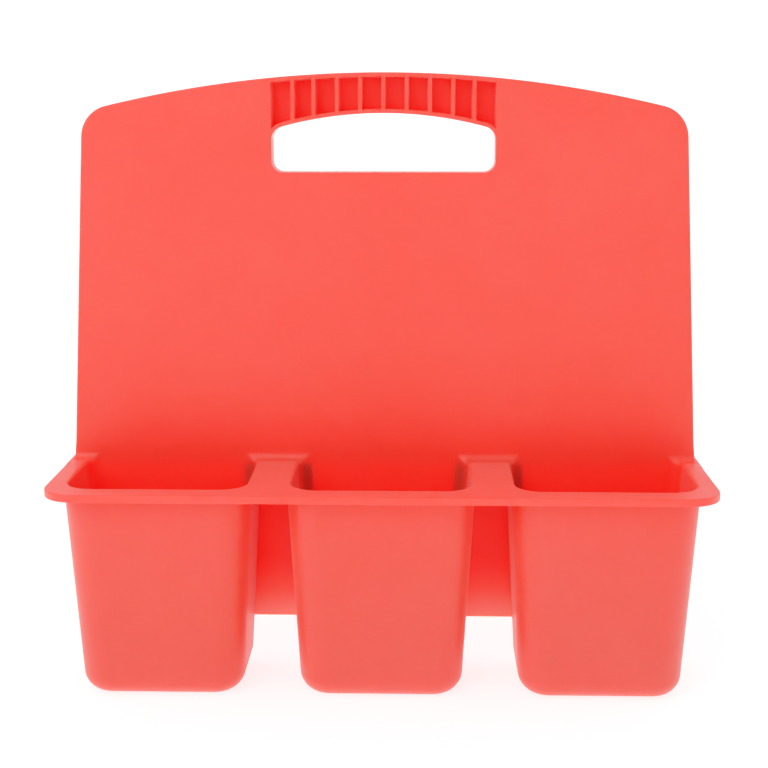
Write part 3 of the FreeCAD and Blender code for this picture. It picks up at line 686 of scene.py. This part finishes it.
def add_back(shell, full, front_wall):
    """The outer wall, the rear face, the hollow round the collar and the ledge under it."""
    shell.band(front_wall, upright(full, REAR), closed=False)
    inner_chain = panel_chain(lambda z: WALL)
    inner_foot = full[0][0] - WALL / math.cos(LEAN)
    inner_chain[0], inner_chain[-1] = (inner_foot, TOP), (-inner_foot, TOP)
    collar_x = HOLE_HIGH.x
    roof = PANEL_CROWN - WALL
    roof_centre = PLATE_HIGH.z - PANEL_CROWN
    right = [p for p in inner_chain[:len(full) // 2] if p[0] > collar_x + COLLAR_CLEAR]
    right.append((collar_x, roof_centre + math.sqrt(roof * roof - collar_x * collar_x)))
    low = HOLE_LOWER_CORNER + GRIP_WALL
    right += arc_points((collar_x - low, HOLE_LOW.z + low), low, 0, -90, 14)
    hollow = right + mirrored(right)
    shell.band(upright(hollow, REAR), upright(hollow, BACK), closed=False)
    shell.sheet(hollow, [], [], lambda x, z: (x, BACK, z))
    shell.sheet(full + list(reversed(hollow)), [hand_hole(HOLE_REAR_ROUND)], [],
                lambda x, z: (x, REAR, z))
    shell.face([(inner_foot, BACK, TOP), (-inner_foot, BACK, TOP),
                (-inner_foot, REAR, TOP), (inner_foot, REAR, TOP)])


def build_moulding():
    """Everything but the web as one closed mesh, so that light passes through it unbroken."""
    shell = Shell()
    full = panel_chain(lambda z: 0.0)
    rim_outer, rim_hold, rim_inner = add_rim(shell)
    mouths = add_cups(shell, rim_inner)
    front_hold, front_wall = add_panel_edge(shell, full)
    hole_hold = add_hand_hole(shell)
    pocket_holds = add_pockets(shell)
    add_front_sheet(shell, rim_hold, front_hold, mouths, [hole_hold] + pocket_holds)
    add_margins(shell, rim_outer)
    add_back(shell, full, front_wall)
    made = shell.finish("caddy_moulding")
    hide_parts("back_panel", "panel_flange", "hand_hole_collar", "grip_back", "grip_ribs",
                "grip_ends", "deck", "rim_lip", "cup_left", "cup_centre", "cup_right")
    return made


# ---------------------------------------------------------------- studio

def camera():
    data = bpy.data.cameras.new("camera")
    data.sensor_width = 36.0
    data.lens = 67.89
    data.clip_start = 0.01
    data.clip_end = 50.0
    made = bpy.data.objects.new("camera", data)
    bpy.context.scene.collection.objects.link(made)
    made.location = (17.06 * MM, -645.93 * MM, 269.78 * MM)
    made.rotation_euler = (math.pi / 2 - 0.1946, 0.0, 0.0249)
    bpy.context.scene.camera = made


def area_light(name, location, target, size, power):
    data = bpy.data.lights.new(name, "AREA")
    data.shape = "RECTANGLE"
    data.size, data.size_y = size
    data.energy = power
    made = bpy.data.objects.new(name, data)
    bpy.context.scene.collection.objects.link(made)
    made.location = location
    aim = Vector(target) - Vector(location)
    made.rotation_euler = aim.to_track_quat("-Z", "Y").to_euler()


def studio_world(light, seen):
    """An even white tent. The camera sees it a little brighter than it lights."""
    world = bpy.data.worlds.new("tent")
    bpy.context.scene.world = world
    world.use_nodes = True
    tree = world.node_tree
    background = tree.nodes["Background"]
    background.inputs["Color"].default_value = (1, 1, 1, 1)
    path = tree.nodes.new("ShaderNodeLightPath")
    strength = ramp(tree, path.outputs["Is Camera Ray"], 0.0, 1.0, light, seen)
    tree.links.new(strength, background.inputs["Strength"])


def paper_floor():
    """A pale sweep that is lit from below, as a white acrylic table is."""
    material = bpy.data.materials.new("white_table")
    material.use_nodes = True
    tree = material.node_tree
    shader = tree.nodes["Principled BSDF"]
    place = tree.nodes.new("ShaderNodeTexCoord").outputs["Object"]
    fibre = noise(tree, place, 300.0, 3.0, 0.6)
    tree.links.new(blend_colour(tree, fibre, (0.49, 0.50, 0.50, 1), (0.52, 0.53, 0.53, 1)),
                   shader.inputs["Base Color"])
    shader.inputs["Roughness"].default_value = 0.85
    shader.inputs["Emission Color"].default_value = (1, 1, 1, 1)
    shader.inputs["Emission Strength"].default_value = FLOOR_GLOW
    mesh = bpy.data.meshes.new("table")
    reach = 6.0
    mesh.from_pydata([(-reach, -reach, 0), (reach, -reach, 0), (reach, reach, 0), (-reach, reach, 0)],
                     [], [(0, 1, 2, 3)])
    made = bpy.data.objects.new("table", mesh)
    bpy.context.scene.collection.objects.link(made)
    mesh.materials.append(material)


def tone_curve():
    """The plain view with a camera's contrast: darker depths, the same white."""
    view = bpy.context.scene.view_settings
    view.view_transform = "Standard"
    view.use_curve_mapping = True
    curve = view.curve_mapping.curves[3]
    for given, shown in ((0.02, 0.009), (0.05, 0.041), (0.10, 0.116), (0.30, 0.35), (0.70, 0.80)):
        curve.points.new(given, shown)
    view.curve_mapping.update()


camera()
studio_world(TENT_LIGHT, TENT_SEEN)
area_light("key", (-0.75, -1.2, 1.1), (0, 0, 0.15), (1.0, 1.0), 7.8)
paper_floor()

matt = plastic("coral_plastic_matt", TONE, PALE, MATT_ROUGHNESS, 0.6)
smooth = plastic("coral_plastic_smooth", TONE, PALE, SMOOTH_ROUGHNESS, 0.25)
web_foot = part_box("web")[0].z
# the web's material has painted light: a pale glow painted into its colour near its foot
web_painted_glow = plastic("coral_plastic_web_painted_glow", TONE, PALE, MATT_ROUGHNESS, 0.6,
                  (web_foot, web_foot + PAINTED_GLOW_HEIGHT))

moulding = build_moulding()
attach(moulding, BODY)
moulding.data.materials.append(matt)
moulding.data.materials.append(smooth)

for name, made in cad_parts.items():
    made.data.materials.clear()
    made.data.materials.append(web_painted_glow if name == "web" else matt)

tone_curve()
bpy.context.scene.cycles.diffuse_bounces = 8
